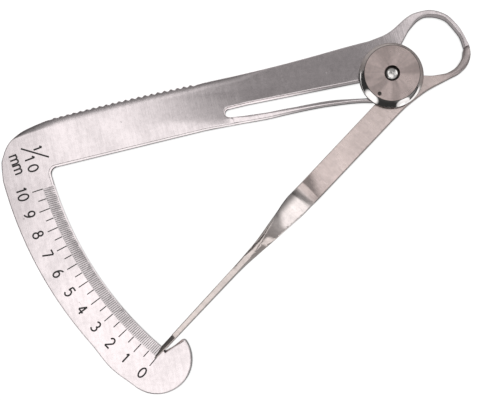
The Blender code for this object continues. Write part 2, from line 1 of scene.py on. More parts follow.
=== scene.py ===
"""The looks of a dental caliper: ground steel, an engraved scale, a spring tongue that bends.

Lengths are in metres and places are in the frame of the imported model. Plan points of the flat pieces
are written in the arm's own frame, with x from the pivot along the arm's axis to the scale and y to the
side where the lever lies. Turns are in degrees, counted counterclockwise from the arm's axis.
"""
import math

import bmesh
import bpy
from mathutils import Matrix, Vector


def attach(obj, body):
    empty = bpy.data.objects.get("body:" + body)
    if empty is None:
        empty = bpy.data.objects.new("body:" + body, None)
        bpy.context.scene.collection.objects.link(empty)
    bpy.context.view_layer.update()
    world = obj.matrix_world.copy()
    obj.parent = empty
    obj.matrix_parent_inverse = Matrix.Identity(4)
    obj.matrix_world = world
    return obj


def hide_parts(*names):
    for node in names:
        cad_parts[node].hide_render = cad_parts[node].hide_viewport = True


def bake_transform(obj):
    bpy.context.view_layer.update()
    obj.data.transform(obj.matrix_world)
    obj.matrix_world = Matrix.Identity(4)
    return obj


MM = 0.001

# Directions and sizes that the model fixes
ARM_ANGLE = 193.7
LEVER_TURN = 33.0
MARK_TEN_TURN = 4.21
MARK_ZERO_TURN = 36.48
PLATE_THICKNESS = 1.8 * MM

# How near two points are one, which faces count as flat, and which edges shade sharp
WELD = 0.0005 * MM
FLAT_TURN = 0.3
FLAT_NORMAL = 0.97
SHARP_TURN = 50

# Spring tongue: where it grows out of the arm, and the stretch over which it bends
SLOT_END = 37.6 * MM
ROOT_GAP = 0.4 * MM
ROOT_GRAFT = 0.8 * MM
TONGUE_NEAR = 4.3 * MM
TONGUE_CUT_BACK = 0.5 * MM
TONGUE_FAR = SLOT_END - TONGUE_CUT_BACK
TONGUE_LOW = -0.4 * MM
TONGUE_HIGH = 6.0 * MM

# Low hump of the strip just before its twist
HUMP_PLACE = 35.6 * MM
HUMP_HEIGHT = 0.56 * MM
HUMP_RISE = 3.1 * MM
HUMP_FALL = 3.6 * MM
HUMP_START = 27.0 * MM
HUMP_END = 46.0 * MM
HUMP_STEP = 0.5 * MM

# Ground facet on the pointer's tip, which leans to the arm's side
TIP_START = 76.4 * MM
TIP_FULL = 76.9 * MM
TIP_SIDE = 5.1 * MM
TIP_LOWEST = 2.0 * MM
TIP_SLOPE = 0.35

# Graduation: fine divisions on the bevel, and marks and numbers outside it
INNER_RADIUS = 80.6 * MM
BEVEL_WIDTH = 2.35 * MM
BEVEL_END = INNER_RADIUS + BEVEL_WIDTH
BEVEL_EDGE_HEIGHT = 1.0 * MM
DIVISIONS = 100
HALF_STEP = 5
WHOLE_STEP = 10
FINE_WIDTH = 0.14 * MM
FINE_INSET = 0.12 * MM
WHOLE_LENGTH = 2.5 * MM
HALF_LENGTH = 1.85 * MM
MARK_WIDTH = 0.23 * MM
MARK_RISE = 0.012 * MM
MARK_DEPTH = 0.06 * MM

# Numbers and unit. Each word of the unit is (text, centre, height, width of a letter, pitch)
NUMBER_RADIUS = 87.7 * MM
NUMBER_HEIGHT = 2.4 * MM
NUMBER_WIDTH = 1.55 * MM
NUMBER_TURN_SHIFT = -0.2
STROKE_WIDTH = 0.38 * MM
STROKE_RISE_SHARE = 0.2
STROKE_ROUNDNESS = 2
ARC_STEP = 15
UNIT_UP_TURN = 186.8
UNIT_WORDS = (("mm", (87.05 * MM, -0.75 * MM), 2.5 * MM, 1.9 * MM, 2.3 * MM),
              ("1", (81.7 * MM, -3.1 * MM), 1.95 * MM, 1.4 * MM, 1.4 * MM),
              ("10", (83.85 * MM, -0.1 * MM), 2.3 * MM, 1.6 * MM, 2.2 * MM))
UNIT_SLASH = ((85.4 * MM, -3.95 * MM), (79.65 * MM, -0.63 * MM))

# Disc over the pivot, with a recess for the rivet's head and a hole for the pin
DISC_LOW = 2.0 * MM
DISC_HEIGHT = 2.0 * MM
DISC_TOP = DISC_LOW + DISC_HEIGHT
DISC_RIM_HEIGHT = 0.62 * MM
DISC_RIM_TOP = DISC_LOW + DISC_RIM_HEIGHT
DISC_RADIUS = 7.3 * MM
DISC_FACE_RADIUS = 6.25 * MM
DISC_EDGE_ROUND = 0.06 * MM
DISC_SHARP_TURN = 30
RECESS_RADIUS = 1.7 * MM
RECESS_DEPTH = 0.85 * MM
BORE_RADIUS = 1.1 * MM
PIN_OFFSET = 5.4 * MM
PIN_TURN = 44.8
PIN_HOLE_RADIUS = 0.46 * MM
TURNED_STEPS = 160

# Material slots of the plate and of the disc
FACE_SLOT = 0
BEVEL_SLOT = 1
PAINTED_SHADE_SLOT = 2

# Noise of the steel, in repeats a metre: along the streaks, across them and in height. Rings and wedges
# have theirs a metre of radius and a radian about the pivot.
FINE_GRAIN = (380.0, 4300.0, 380.0)
WIDE_GRAIN = (90.0, 950.0, 90.0)
CLOUD_GRAIN = (110.0, 110.0, 110.0)
PATINA_GRAIN = (1300.0, 1300.0, 1300.0)
SPECK_GRAIN = (520.0, 520.0, 520.0)
RING_GRAIN = (5200.0, 1.6, 0.0)
WEDGE_GRAIN = (60.0, 1.1, 0.0)
NOISE_DETAIL = 3.0
NOISE_ROUGHNESS = 0.6

# Heights of the relief that the grain and the clouds give
FINE_RELIEF = 0.0036 * MM
WIDE_RELIEF = 0.003 * MM
CLOUD_RELIEF = 0.012 * MM

# Tone and gloss of the steel. A range is of the noise, and a level multiplies the steel's own colour.
GRAIN_TONE_SHARE = 0.35
PATINA_TONE_SHARE = 0.3
TONE_RANGE = (0.36, 0.62)
TONE_LEVELS = (0.85, 1.07)
SPECK_RANGE = (0.7, 0.76)
SPECK_SHARE = 0.5
SPECK_LEVEL = 0.25
SPECK_MATTE = 0.2
WORN_EDGE = 0.18 * MM
WORN_COSINES = (0.995, 0.85)
WORN_SHARE = 0.35
WORN_LEVEL = 1.15
WORN_SAMPLES = 8
GLOSS_RANGE = (0.3, 0.7)
GLOSS_SPREAD = 0.03

# Plain kinds of steel, each (colour, roughness, level of its relief), and the fill of the engraving
BRIGHT_LOOK = ((0.85, 0.82, 0.8), 0.1, 0.5)
# The dark steel is the pin's colour and, on the disc's rim and recess, a painted shade
PIN_AND_SHADE_LOOK = ((0.1, 0.085, 0.08), 0.45, 1.0)
DISC_LOOK = ((0.68, 0.56, 0.535), 0.3, 2.0)
MARK_FILL = (0.05, 0.045, 0.045)
FINE_FILL = (0.32, 0.29, 0.295)
FILL_LEVELS = (0.5, 1.5)
FILL_ROUGHNESS = 0.55

# Disc: wedges of tone on its face that are a painted sheen, and a bevel that is satin on one half and
# polished about one turn, its satin half tinted darker as painted shade
SHEEN_WEDGE_RANGE = (0.36, 0.64)
SHEEN_WEDGE_LEVELS = (0.8, 1.16)
LIT_POLISH_TURN = 61.3
LIT_POLISH_COSINES = (0.02, 0.3)
DISC_SATIN_SHADE_TINT = (0.52, 0.46, 0.44)
DISC_POLISHED_LIT_TINT = (0.8, 0.77, 0.76)
DISC_BEVEL_ROUGHNESS = (0.42, 0.06)
DISC_BEVEL_RELIEF = 0.3

# Plate: its edges are rounded, the back edge the most, and its lower edge and the tongue lean a little
PLATE_TINT = (0.88, 0.8, 0.81)
PLATE_ROUGHNESS = 0.11
EDGE_ROUND = 0.35 * MM
BACK_ROUND = 3.0 * MM
BACK_DEPTHS = (-6.2 * MM, -7.4 * MM)
BACK_REACH = (25.0 * MM, 36.0 * MM)
LEAN_STARTS = (1.0 * MM, -2.5 * MM)
LEAN_TURNOVER = (36.0 * MM, 54.0 * MM)
LEAN_DEPTH = 5.0 * MM
LEAN_RATE = 2.4
LEAN_REACH = (60.0 * MM, 72.0 * MM)
TONGUE_LEAN = 0.012
TONGUE_LEAN_START = 0.6 * MM
TONGUE_LEAN_REACH = (38.0 * MM, 40.0 * MM)
TONGUE_ROUND = 0.25 * MM
SEAM_REACH = (0.5 * MM, 1.5 * MM)
PLATE_ROUND_SAMPLES = 16

# Graduated bevel: a little hollow along its inner edge, on the lower part of the scale
BEVEL_TINT = (0.9, 0.83, 0.84)
BEVEL_ROUGHNESS = 0.36
HOLLOW_WIDTH = 1.75 * MM
HOLLOW_RATE = 190.0
HOLLOW_TURNS = (13, 22)

# Lever: satin near the pivot and polished from its bend on. A tint takes over along its stretch; the
# lighter tint just past the hump is partly polished steel's own colour and partly a painted highlight
LEVER_ROUGHNESS = (0.3, 0.14)
LEVER_GLOSS_REACH = (26.5 * MM, 29.5 * MM)
LEVER_SLOPE = 0.045
KINKS = (((26.5 * MM, 33.5 * MM), 0.4 * MM), ((31.0 * MM, 33.0 * MM), 0.1 * MM))
BEAK_TINT = (0.62, 0.54, 0.53)
BEAK_REACH = (-12.0 * MM, -6.5 * MM)
LEVER_TINTS = ((BEAK_REACH, (0.79, 0.665, 0.635)),
               ((32.0 * MM, 34.0 * MM), (0.9, 0.82, 0.8)),
               ((39.0 * MM, 47.0 * MM), (0.68, 0.6, 0.57)))
# Painted shade: a darker margin on one side of the strip where its twist starts
SHADE_MARGIN_SIDES = (2.1 * MM, 4.1 * MM)
SHADE_MARGIN_REACHES = ((33.0 * MM, 35.0 * MM), (44.0 * MM, 40.0 * MM))
SHADE_MARGIN_LEVEL = 0.22
BEAK_ROUND = 1.5 * MM
LEVER_ROUND_SAMPLES = 12

# Camera: straight above, shifted so that its frame holds the whole tool
IMAGE_WIDTH = 481
IMAGE_HEIGHT = 401
PIXELS_PER_METRE = 4410.0
PIVOT_PIXEL = (390.9, 76.5)
PLUMB_PIXEL = (300.5, 310.5)
CAMERA_RISE = 150 * MM
CAMERA_NEAR = 1 * MM
SENSOR_WIDTH = 36.0

# Studio around the tool. The ceiling light is bright up to an edge that the arm reflects, given by slopes
# away from straight up. Each box is (direction, half width of its bright part and of the whole, strength),
# with the widths in degrees.
CEILING_STRENGTH = 0.86
CEILING_FAR_SLOPES = (0.29, 0.25)
CEILING_ARM_SLOPES = (-0.02, 0.25)
CEILING_LEFT_SLOPES = (-0.66, -0.34)
CEILING_RIGHT_SLOPES = (0.5, 0.08)
CEILING_NEAR_SLOPES = (-0.6, -0.3)
LOWEST_RISE = 0.05
AMBIENT_LOW = 0.04
AMBIENT_HIGH = 0.17
AMBIENT_HEIGHTS = (0.3, 0.95)
SOFTBOXES = (((-0.75, -0.64, 0.18), 14, 24, 1.3),
             ((0.6, -0.8, 0.12), 14, 19, 0.95),
             ((0.62, -0.36, 0.62), 18, 45, 0.26),
             ((0.52, 0.3, 0.8), 6, 16, 0.6),
             ((0.75, 0.5, 0.4), 10, 26, 1.2),
             ((-0.15, 0.75, 0.45), 20, 50, 0.22),
             ((0.0, -0.68, 0.8), 6, 18, 0.5),
             ((0.56, -0.83, 0.01), 4, 8, 0.6),
             ((0.25, 0.48, 1.0), 4, 7.5, 0.55),
             ((-0.3, -0.06, 1.0), 5, 12, 0.12))
WHITE = (1.0, 1.0, 1.0)

# Table: glow and matte grey, each (seen by the camera, mirrored near the strip or disc, mirrored elsewhere)
FLOOR_SIZE = 4.0
FLOOR_DROP = 0.02 * MM
FLOOR_GLOWS = (0.93, 0.28, 0.75)
FLOOR_MATTES = (0.3, 0.2, 0.8)
FLOOR_SHADED_SIDE = 4.5 * MM
FLOOR_SHADED_REACH = (12.0 * MM, 20.0 * MM)
CONTACT_REACH = 0.45 * MM
CONTACT_RANGE = (0.5, 0.95)
CONTACT_SEEN = 0.7
CONTACT_MIRRORED = 0.05
CONTACT_SAMPLES = 16


def direction(turn):
    """Unit vector in the plan, turned from the arm's axis."""
    return Vector((math.cos(math.radians(turn)), math.sin(math.radians(turn)), 0))


def polar(radius, turn):
    return radius * direction(turn)


def to_world():
    return Matrix.Rotation(math.radians(ARM_ANGLE), 4, "Z")


def new_mesh(name, solid):
    """Mesh of a finished solid."""
    mesh = bpy.data.meshes.new(name)
    solid.to_mesh(mesh)
    solid.free()
    return mesh


def changed_mesh(mesh, *changes):
    """A mesh after some changes, each made to it as a solid."""
    solid = bmesh.new()
    solid.from_mesh(mesh)
    for change in changes:
        change(solid)
    solid.to_mesh(mesh)
    solid.free()
    return mesh


def weld(solid):
    bmesh.ops.remove_doubles(solid, verts=solid.verts, dist=WELD)


def merge_flat(solid):
    """Joins the triangles of each flat face."""
    bmesh.ops.dissolve_degenerate(solid, dist=WELD, edges=solid.edges)
    bmesh.ops.dissolve_limit(solid, angle_limit=math.radians(FLAT_TURN), verts=solid.verts,
                             edges=solid.edges)


def node_mesh(node):
    """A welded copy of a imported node's mesh."""
    return changed_mesh(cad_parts[node].data.copy(), weld, merge_flat)


def add_piece(name, mesh, material):
    piece = bpy.data.objects.new(name, mesh)
    bpy.context.scene.collection.objects.link(piece)
    mesh.materials.clear()
    mesh.materials.append(material)
    return piece


def evaluated_mesh(piece):
    return bpy.data.meshes.new_from_object(piece.evaluated_get(bpy.context.evaluated_depsgraph_get()))


def combine(piece, other, operation):
    """Mesh of two objects joined, cut or intersected."""
    boolean = piece.modifiers.new("Combine", "BOOLEAN")
    boolean.operation = operation
    boolean.solver = "EXACT"
    boolean.object = other
    mesh = evaluated_mesh(piece)
    piece.modifiers.remove(boolean)
    return mesh


def round_shading(piece, sharp_turn=SHARP_TURN):
    """Broken edges shade as rounds between flat faces."""
    piece.data.shade_smooth()
    piece.data.set_sharp_from_angle(angle=math.radians(sharp_turn))
    weigh = piece.modifiers.new("Weigh", "WEIGHTED_NORMAL")
    weigh.keep_sharp = True
    mesh = evaluated_mesh(piece)
    piece.modifiers.remove(weigh)
    piece.data = mesh


class Nodes:
    """Short way to build a node tree: each call adds a node and links what it is given."""

    def __init__(self, tree):
        self.tree = tree

    def add(self, kind, inputs=None, **settings):
        node = self.tree.nodes.new(kind)
        for key, value in settings.items():
            setattr(node, key, value)
        for key, value in (inputs or {}).items():
            if isinstance(value, bpy.types.NodeSocket):
                self.tree.links.new(value, node.inputs[key])
            else:
                node.inputs[key].default_value = value
        return node

    def math(self, operation, value, *others):
        """An operation on one value, or one that joins all the values in turn."""
        for other in others or (0.0,):
            value = self.add("ShaderNodeMath", {0: value, 1: other}, operation=operation).outputs[0]
        return value

    def dot(self, first, second):
        """Dot product of two vectors, the cosine between directions."""
        return self.add("ShaderNodeVectorMath", {0: first, 1: second},
                        operation="DOT_PRODUCT").outputs["Value"]

    def ramp(self, value, bounds, low=0.0, high=1.0):
        """Soft step from low at the first bound to high at the second."""
        inputs = {"Value": value, "From Min": bounds[0], "From Max": bounds[1],
                  "To Min": low, "To Max": high}
        return self.add("ShaderNodeMapRange", inputs, interpolation_type="SMOOTHSTEP").outputs[0]

    def mix(self, share, low, high):
        """Colour between two."""
        return self.add("ShaderNodeMix", {0: share, 6: low, 7: high}, data_type="RGBA").outputs[2]

    def between(self, share, low, high):
        """Number between two."""
        return self.add("ShaderNodeMix", {0: share, 2: low, 3: high}, data_type="FLOAT").outputs[0]

    def place(self, turn=0.0):
        """Object coordinates in a frame at a turn in the plan."""
        here = self.add("ShaderNodeTexCoord").outputs["Object"]
        rotation = (0.0, 0.0, -math.radians(turn))
        return self.add("ShaderNodeMapping", {"Vector": here, "Rotation": rotation}).outputs[0]

    def split(self, vector):
        return self.add("ShaderNodeSeparateXYZ", {0: vector}).outputs

    def noise(self, vector, scales):
        """Noise with its own scale on each axis."""
        stretched = self.add("ShaderNodeMapping", {"Vector": vector, "Scale": scales}).outputs[0]
        inputs = {"Vector": stretched, "Scale": 1.0, "Detail": NOISE_DETAIL, "Roughness": NOISE_ROUGHNESS}
        return self.add("ShaderNodeTexNoise", inputs).outputs[0]

    def rounding(self, radius, samples):
        """Normal of a surface whose edges are rounded."""
        return self.add("ShaderNodeBevel", {"Radius": radius}, samples=samples).outputs[0]

    def seen(self):
        return self.add("ShaderNodeLightPath").outputs["Is Camera Ray"]


def new_material(name):
    material = bpy.data.materials.new(name)
    material.use_nodes = True
    material.node_tree.nodes.clear()
    return material, Nodes(material.node_tree)


def opaque(colour, level=1.0):
    return (*(level * part for part in colour), 1.0)


def toned(nodes, colour, level):
    """A colour at a level, also where the colour is itself a node's output."""
    if isinstance(colour, bpy.types.NodeSocket):
        return nodes.add("ShaderNodeVectorMath", {0: colour, "Scale": level}, operation="SCALE").outputs[0]
    return opaque(colour, level)


def metal(nodes, colour, grains, roughness, height, rounding=None, worn_width=WORN_EDGE):
    """Steel whose colour, gloss and relief follow its grain, with worn edges and a few dark specks."""
    fine, wide, cloud = grains
    grain = nodes.math("MULTIPLY", nodes.math("ADD", fine, wide), 0.5)
    here = nodes.place()
    streaks = nodes.math("MULTIPLY", nodes.math("ADD", grain, cloud), GRAIN_TONE_SHARE)
    patina = nodes.math("MULTIPLY", nodes.noise(here, PATINA_GRAIN), PATINA_TONE_SHARE)
    tone = nodes.ramp(nodes.math("ADD", streaks, patina), TONE_RANGE)
    base = nodes.mix(tone, *(toned(nodes, colour, level) for level in TONE_LEVELS))
    speck = nodes.ramp(nodes.noise(here, SPECK_GRAIN), SPECK_RANGE)
    base = nodes.mix(nodes.math("MULTIPLY", speck, SPECK_SHARE), base, toned(nodes, colour, SPECK_LEVEL))
    bare = nodes.add("ShaderNodeNewGeometry").outputs["Normal"]
    edge = nodes.ramp(nodes.dot(nodes.rounding(worn_width, WORN_SAMPLES), bare), WORN_COSINES)
    base = nodes.mix(nodes.math("MULTIPLY", edge, WORN_SHARE), base, toned(nodes, colour, WORN_LEVEL))
    spreads = [nodes.ramp(noise, GLOSS_RANGE, GLOSS_SPREAD, -GLOSS_SPREAD) for noise in (grain, cloud)]
    gloss = nodes.math("ADD", roughness, *spreads, nodes.math("MULTIPLY", speck, SPECK_MATTE))
    relief = {"Height": height, "Strength": 1.0, "Distance": 1.0}
    if rounding is not None:
        relief["Normal"] = rounding
    bump = nodes.add("ShaderNodeBump", relief).outputs[0]
    shader = nodes.add("ShaderNodeBsdfPrincipled", {"Base Color": base, "Metallic": 1.0, "Roughness": gloss,
                                                    "Normal": bump})
    nodes.add("ShaderNodeOutputMaterial", {"Surface": shader.outputs[0]})


def grain_relief(nodes, grains, level=1.0):
    """Height of the grain in metres."""
    reliefs = (FINE_RELIEF, WIDE_RELIEF, CLOUD_RELIEF)
    heights = [nodes.math("MULTIPLY", grain, level * relief) for grain, relief in zip(grains, reliefs)]
    return nodes.math("ADD", *heights)


def straight_grain(nodes, turn):
    """Grain that runs at a turn in the plan: fine streaks, wide ones and clouds."""
    place = nodes.place(turn)
    return [nodes.noise(place, scales) for scales in (FINE_GRAIN, WIDE_GRAIN, CLOUD_GRAIN)]


def reach_and_turn(nodes, place):
    """Distance of a place from the pivot's axis, and its turn about it in radians."""
    x, y, _ = nodes.split(place)
    squares = [nodes.math("MULTIPLY", part, part) for part in (x, y)]
    return nodes.math("SQRT", nodes.math("ADD", *squares)), nodes.math("ARCTAN2", y, x)


def ring_grain(nodes):
    """Grain that runs round the pivot: fine rings, broad wedges and clouds."""
    here = nodes.place()
    reach, turn = reach_and_turn(nodes, here)
    around = nodes.add("ShaderNodeCombineXYZ", {0: reach, 1: turn}).outputs[0]
    return nodes.noise(around, RING_GRAIN), nodes.noise(around, WEDGE_GRAIN), nodes.noise(here, CLOUD_GRAIN)


def plain_steel(name, colour, roughness, level):
    """Steel with a straight grain along the arm."""
    material, nodes = new_material(name)
    grains = straight_grain(nodes, ARM_ANGLE)
    metal(nodes, colour, grains, roughness, grain_relief(nodes, grains, level))
    return material


def ringed_steel(name, colour, roughness, level):
    """Steel turned in fine rings about the pivot, with wedges of tone that are a painted sheen."""
    material, nodes = new_material(name)
    grains = ring_grain(nodes)
    # painted sheen: the colour is lighter and darker in wedges about the pivot
    tint = nodes.mix(nodes.ramp(grains[1], SHEEN_WEDGE_RANGE), *(opaque(colour, tone) for tone in SHEEN_WEDGE_LEVELS))
    metal(nodes, tint, grains, roughness, grain_relief(nodes, grains, level))
    return material


def disc_bevel_steel():
    """Steel of the disc's bevel, polished on one half and satin on the other, where a darker tint is
    painted shade.
    """
    material, nodes = new_material("disc_bevel_steel")
    grains = ring_grain(nodes)
    outward = nodes.add("ShaderNodeVectorMath", {0: nodes.place()}, operation="NORMALIZE").outputs[0]
    facing = nodes.dot(outward, to_world() @ direction(LIT_POLISH_TURN))
    lit_polish = nodes.ramp(facing, LIT_POLISH_COSINES)
    # painted shade: the satin half gets a darker tint than the polished half
    tint = nodes.mix(lit_polish, opaque(DISC_SATIN_SHADE_TINT), opaque(DISC_POLISHED_LIT_TINT))
    gloss = nodes.ramp(lit_polish, (0.0, 1.0), *DISC_BEVEL_ROUGHNESS)
    metal(nodes, tint, grains, gloss, grain_relief(nodes, grains, DISC_BEVEL_RELIEF))
    return material


def bevel_steel():
    """Steel of the graduated bevel, a little hollow along its inner edge."""
    material, nodes = new_material("bevel_steel")
    grains = ring_grain(nodes)
    reach, turn = reach_and_turn(nodes, nodes.place(ARM_ANGLE))
    within = nodes.math("MAXIMUM", nodes.math("SUBTRACT", INNER_RADIUS + HOLLOW_WIDTH, reach), 0.0)
    rate = nodes.ramp(nodes.math("DEGREES", turn), HOLLOW_TURNS, 0.0, HOLLOW_RATE)
    hollow = nodes.math("MULTIPLY", within, within, rate)
    height = nodes.math("ADD", grain_relief(nodes, grains), hollow)
    metal(nodes, BEVEL_TINT, grains, BEVEL_ROUGHNESS, height)
    return material


def plate_lean(nodes, x, y):
    """Height that the plate's lower edge and the tongue lose where they lean."""
    start = nodes.ramp(x, LEAN_TURNOVER, *LEAN_STARTS)
    past = nodes.math("MINIMUM", nodes.math("MAXIMUM", nodes.math("SUBTRACT", y, start), 0.0), LEAN_DEPTH)
    lean = nodes.math("MULTIPLY", past, past, -LEAN_RATE, nodes.ramp(x, LEAN_REACH, 1.0, 0.0))
    beyond = nodes.math("MAXIMUM", nodes.math("SUBTRACT", y, TONGUE_LEAN_START), 0.0)
    tongue = nodes.math("MULTIPLY", beyond, nodes.ramp(x, TONGUE_LEAN_REACH, -TONGUE_LEAN, 0.0))
    return nodes.math("ADD", lean, tongue)


def plate_round(nodes, x, y):
    """Radius of the plate's edges, larger along the back and smaller on the tongue."""
    back = nodes.math("MULTIPLY", nodes.ramp(y, BACK_DEPTHS), nodes.ramp(x, BACK_REACH),
                      BACK_ROUND - EDGE_ROUND)
    tongue = nodes.math("MULTIPLY", nodes.ramp(x, TONGUE_LEAN_REACH, 1.0, 0.0),
                        nodes.ramp(y, (0.0, TONGUE_LEAN_START)), TONGUE_ROUND - EDGE_ROUND)
    return nodes.math("ADD", EDGE_ROUND, back, tongue)


def away_from_seam(nodes, x, y):
    """Nought where the tongue was parted from the arm, so that no edge shows there, and one elsewhere."""
    distance = nodes.math("ABSOLUTE", nodes.math("SUBTRACT", x, TONGUE_FAR))
    return nodes.math("MAXIMUM", nodes.ramp(distance, SEAM_REACH), nodes.ramp(y, (0.0, TONGUE_LOW)))


def plate_steel():
    """Steel ground across the arm."""
    material, nodes = new_material("plate_steel")
    grains = straight_grain(nodes, ARM_ANGLE + 90)
    x, y, _ = nodes.split(nodes.place(ARM_ANGLE))
    height = nodes.math("ADD", grain_relief(nodes, grains), plate_lean(nodes, x, y))
    apart = away_from_seam(nodes, x, y)
    rounded = nodes.rounding(nodes.math("MULTIPLY", plate_round(nodes, x, y), apart), PLATE_ROUND_SAMPLES)
    worn_width = nodes.math("MULTIPLY", apart, WORN_EDGE)
    metal(nodes, PLATE_TINT, grains, PLATE_ROUGHNESS, height, rounded, worn_width)
    return material


def lever_tint(nodes, along, side):
    """Colour along the lever, with a painted shade as a dark margin on one side of the twist."""
    colour = opaque(BEAK_TINT)
    # partly painted highlight: the tint is lighter just past the hump, where its highlight falls
    for bounds, tint in LEVER_TINTS:
        colour = nodes.mix(nodes.ramp(along, bounds), colour, opaque(tint))
    # painted shade: the colour darkens on one side of the strip at the start of the twist
    painted_shade = nodes.ramp(side, SHADE_MARGIN_SIDES, 1.0, 0.0)
    for bounds in SHADE_MARGIN_REACHES:
        painted_shade = nodes.math("MULTIPLY", painted_shade, nodes.ramp(along, bounds))
    return nodes.mix(painted_shade, colour, toned(nodes, colour, SHADE_MARGIN_LEVEL))


def lever_steel():
    """Steel ground across the strip, which slopes a little and has two slight bends before the twist."""
    material, nodes = new_material("lever_steel")
    grains = straight_grain(nodes, ARM_ANGLE + LEVER_TURN + 90)
    along, side, _ = nodes.split(nodes.place(ARM_ANGLE + LEVER_TURN))
    kinks = [nodes.ramp(along, bounds, 0.0, rise) for bounds, rise in KINKS]
    slope = nodes.math("MULTIPLY", along, -LEVER_SLOPE)
    height = nodes.math("ADD", grain_relief(nodes, grains), slope, *kinks)
    gloss = nodes.ramp(along, LEVER_GLOSS_REACH, *LEVER_ROUGHNESS)
    rounded = nodes.rounding(nodes.ramp(along, BEAK_REACH, BEAK_ROUND, WORN_EDGE), LEVER_ROUND_SAMPLES)
    metal(nodes, lever_tint(nodes, along, side), grains, gloss, height, rounded)
    return material


def engraving(name, colour):
    """Dark fill of the engraved lines, a little uneven."""
    material, nodes = new_material(name)
    cloud = nodes.noise(nodes.place(), SPECK_GRAIN)
    mixed = nodes.mix(cloud, *(opaque(colour, level) for level in FILL_LEVELS))
    shader = nodes.add("ShaderNodeBsdfPrincipled", {"Base Color": mixed, "Roughness": FILL_ROUGHNESS})
    nodes.add("ShaderNodeOutputMaterial", {"Surface": shader.outputs[0]})
    return material


def grafted_tongue():
    """The tongue, with its root drawn out into the arm."""
    mesh = node_mesh("return_spring")
    back = to_world().inverted()
    for vertex in mesh.vertices:
        place = back @ vertex.co
        if place.x > SLOT_END - ROOT_GAP:
            place.x += ROOT_GRAFT
            vertex.co = to_world() @ place
    return mesh


def tongue_block():
    """Block that holds the whole tongue and nothing else of the plate."""
    solid = bmesh.new()
    bmesh.ops.create_cube(solid, size=1.0)
    near = Vector((TONGUE_NEAR, TONGUE_LOW, -PLATE_THICKNESS))
    far = Vector((TONGUE_FAR, TONGUE_HIGH, 2 * PLATE_THICKNESS))
    bmesh.ops.scale(solid, verts=solid.verts, vec=far - near)
    bmesh.ops.translate(solid, verts=solid.verts, vec=(near + far) / 2)
    solid.transform(to_world())
    return new_mesh("tongue_block", solid)


def parted_meshes(material):
    """Frame and tongue made one metal at the tongue's root, and parted where the bending starts."""
    plate = add_piece("plate_whole", node_mesh("frame_plate"), material)
    tongue = add_piece("tongue_whole", grafted_tongue(), material)
    block = add_piece("tongue_block", tongue_block(), material)
    plate.data = combine(plate, tongue, "UNION")
    meshes = [combine(plate, block, operation) for operation in ("DIFFERENCE", "INTERSECT")]
    for thing in (plate, tongue, block):
        bpy.data.objects.remove(thing)
    return meshes


def build_body(mesh, material, bevel_material):
    body = add_piece("plate_body", mesh, material)
    round_shading(body)
    body.data.materials.append(bevel_material)
    for polygon in body.data.polygons:
        on_bevel = INNER_RADIUS < polygon.center.xy.length < BEVEL_END
        if on_bevel and polygon.center.z > BEVEL_EDGE_HEIGHT and polygon.normal.z < FLAT_NORMAL:
            polygon.material_index = BEVEL_SLOT
    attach(body, "frame")
    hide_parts("frame_plate")


def build_spring(mesh, material):
    """The tongue, from its root on, as a piece of its own."""
    spring = add_piece("spring_tongue", mesh, material)
    round_shading(spring)
    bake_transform(spring)
    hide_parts("return_spring")


def hump(along):
    """Height of the strip's low hump at a distance along it."""
    spread = HUMP_RISE if along < HUMP_PLACE else HUMP_FALL
    return HUMP_HEIGHT * math.exp(-((along - HUMP_PLACE) / spread) ** 2)


def cut_across(solid, axis, along):
    """Edges round a solid where a plane crosses it."""
    geometry = [*solid.verts, *solid.edges, *solid.faces]
    bmesh.ops.bisect_plane(solid, geom=geometry, dist=WELD, plane_co=axis * along, plane_no=axis)


def raise_hump(solid):
    axis = to_world() @ direction(LEVER_TURN)
    for i in range(round((HUMP_END - HUMP_START) / HUMP_STEP) + 1):
        cut_across(solid, axis, HUMP_START + i * HUMP_STEP)
    for vertex in solid.verts:
        vertex.co.z += hump(vertex.co.dot(axis))


def grind_tip(solid):
    axis = to_world() @ direction(LEVER_TURN)
    side = to_world() @ direction(LEVER_TURN + 90)
    for along in (TIP_START, TIP_FULL):
        cut_across(solid, axis, along)
    for vertex in solid.verts:
        if vertex.co.dot(axis) > TIP_FULL - WELD and vertex.co.z > TIP_LOWEST:
            vertex.co.z -= TIP_SLOPE * max(0, TIP_SIDE - vertex.co.dot(side))


def build_lever(material):
    """The lever with the low hump before its twist and the facet on its tip."""
    piece = add_piece("lever_body", changed_mesh(node_mesh("lever"), raise_hump, grind_tip), material)
    round_shading(piece)
    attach(piece, "lever")
    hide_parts("lever")


def turned_mesh(name, profile):
    """Closed profile of (radius, height) turned about the pivot's axis."""
    solid = bmesh.new()
    ring = [solid.verts.new((radius, 0, height)) for radius, height in profile]
    edges = [solid.edges.new((a, b)) for a, b in zip(ring, ring[1:] + ring[:1])]
    bmesh.ops.spin(solid, geom=ring + edges, axis=(0, 0, 1), angle=2 * math.pi, steps=TURNED_STEPS,
                   use_merge=True)
    weld(solid)
    bmesh.ops.recalc_face_normals(solid, faces=solid.faces)
    return new_mesh(name, solid)


def disc_profile():
    """Half section of the disc: rim, bevel, face and recess, with its upper edges broken."""
    edge = DISC_EDGE_ROUND
    floor = DISC_TOP - RECESS_DEPTH
    return ((BORE_RADIUS, DISC_LOW), (DISC_RADIUS, DISC_LOW), (DISC_RADIUS, DISC_RIM_TOP),
            (DISC_FACE_RADIUS + edge, DISC_TOP - edge), (DISC_FACE_RADIUS - edge, DISC_TOP),
            (RECESS_RADIUS + edge, DISC_TOP), (RECESS_RADIUS, DISC_TOP - edge),
            (RECESS_RADIUS, floor), (BORE_RADIUS, floor))


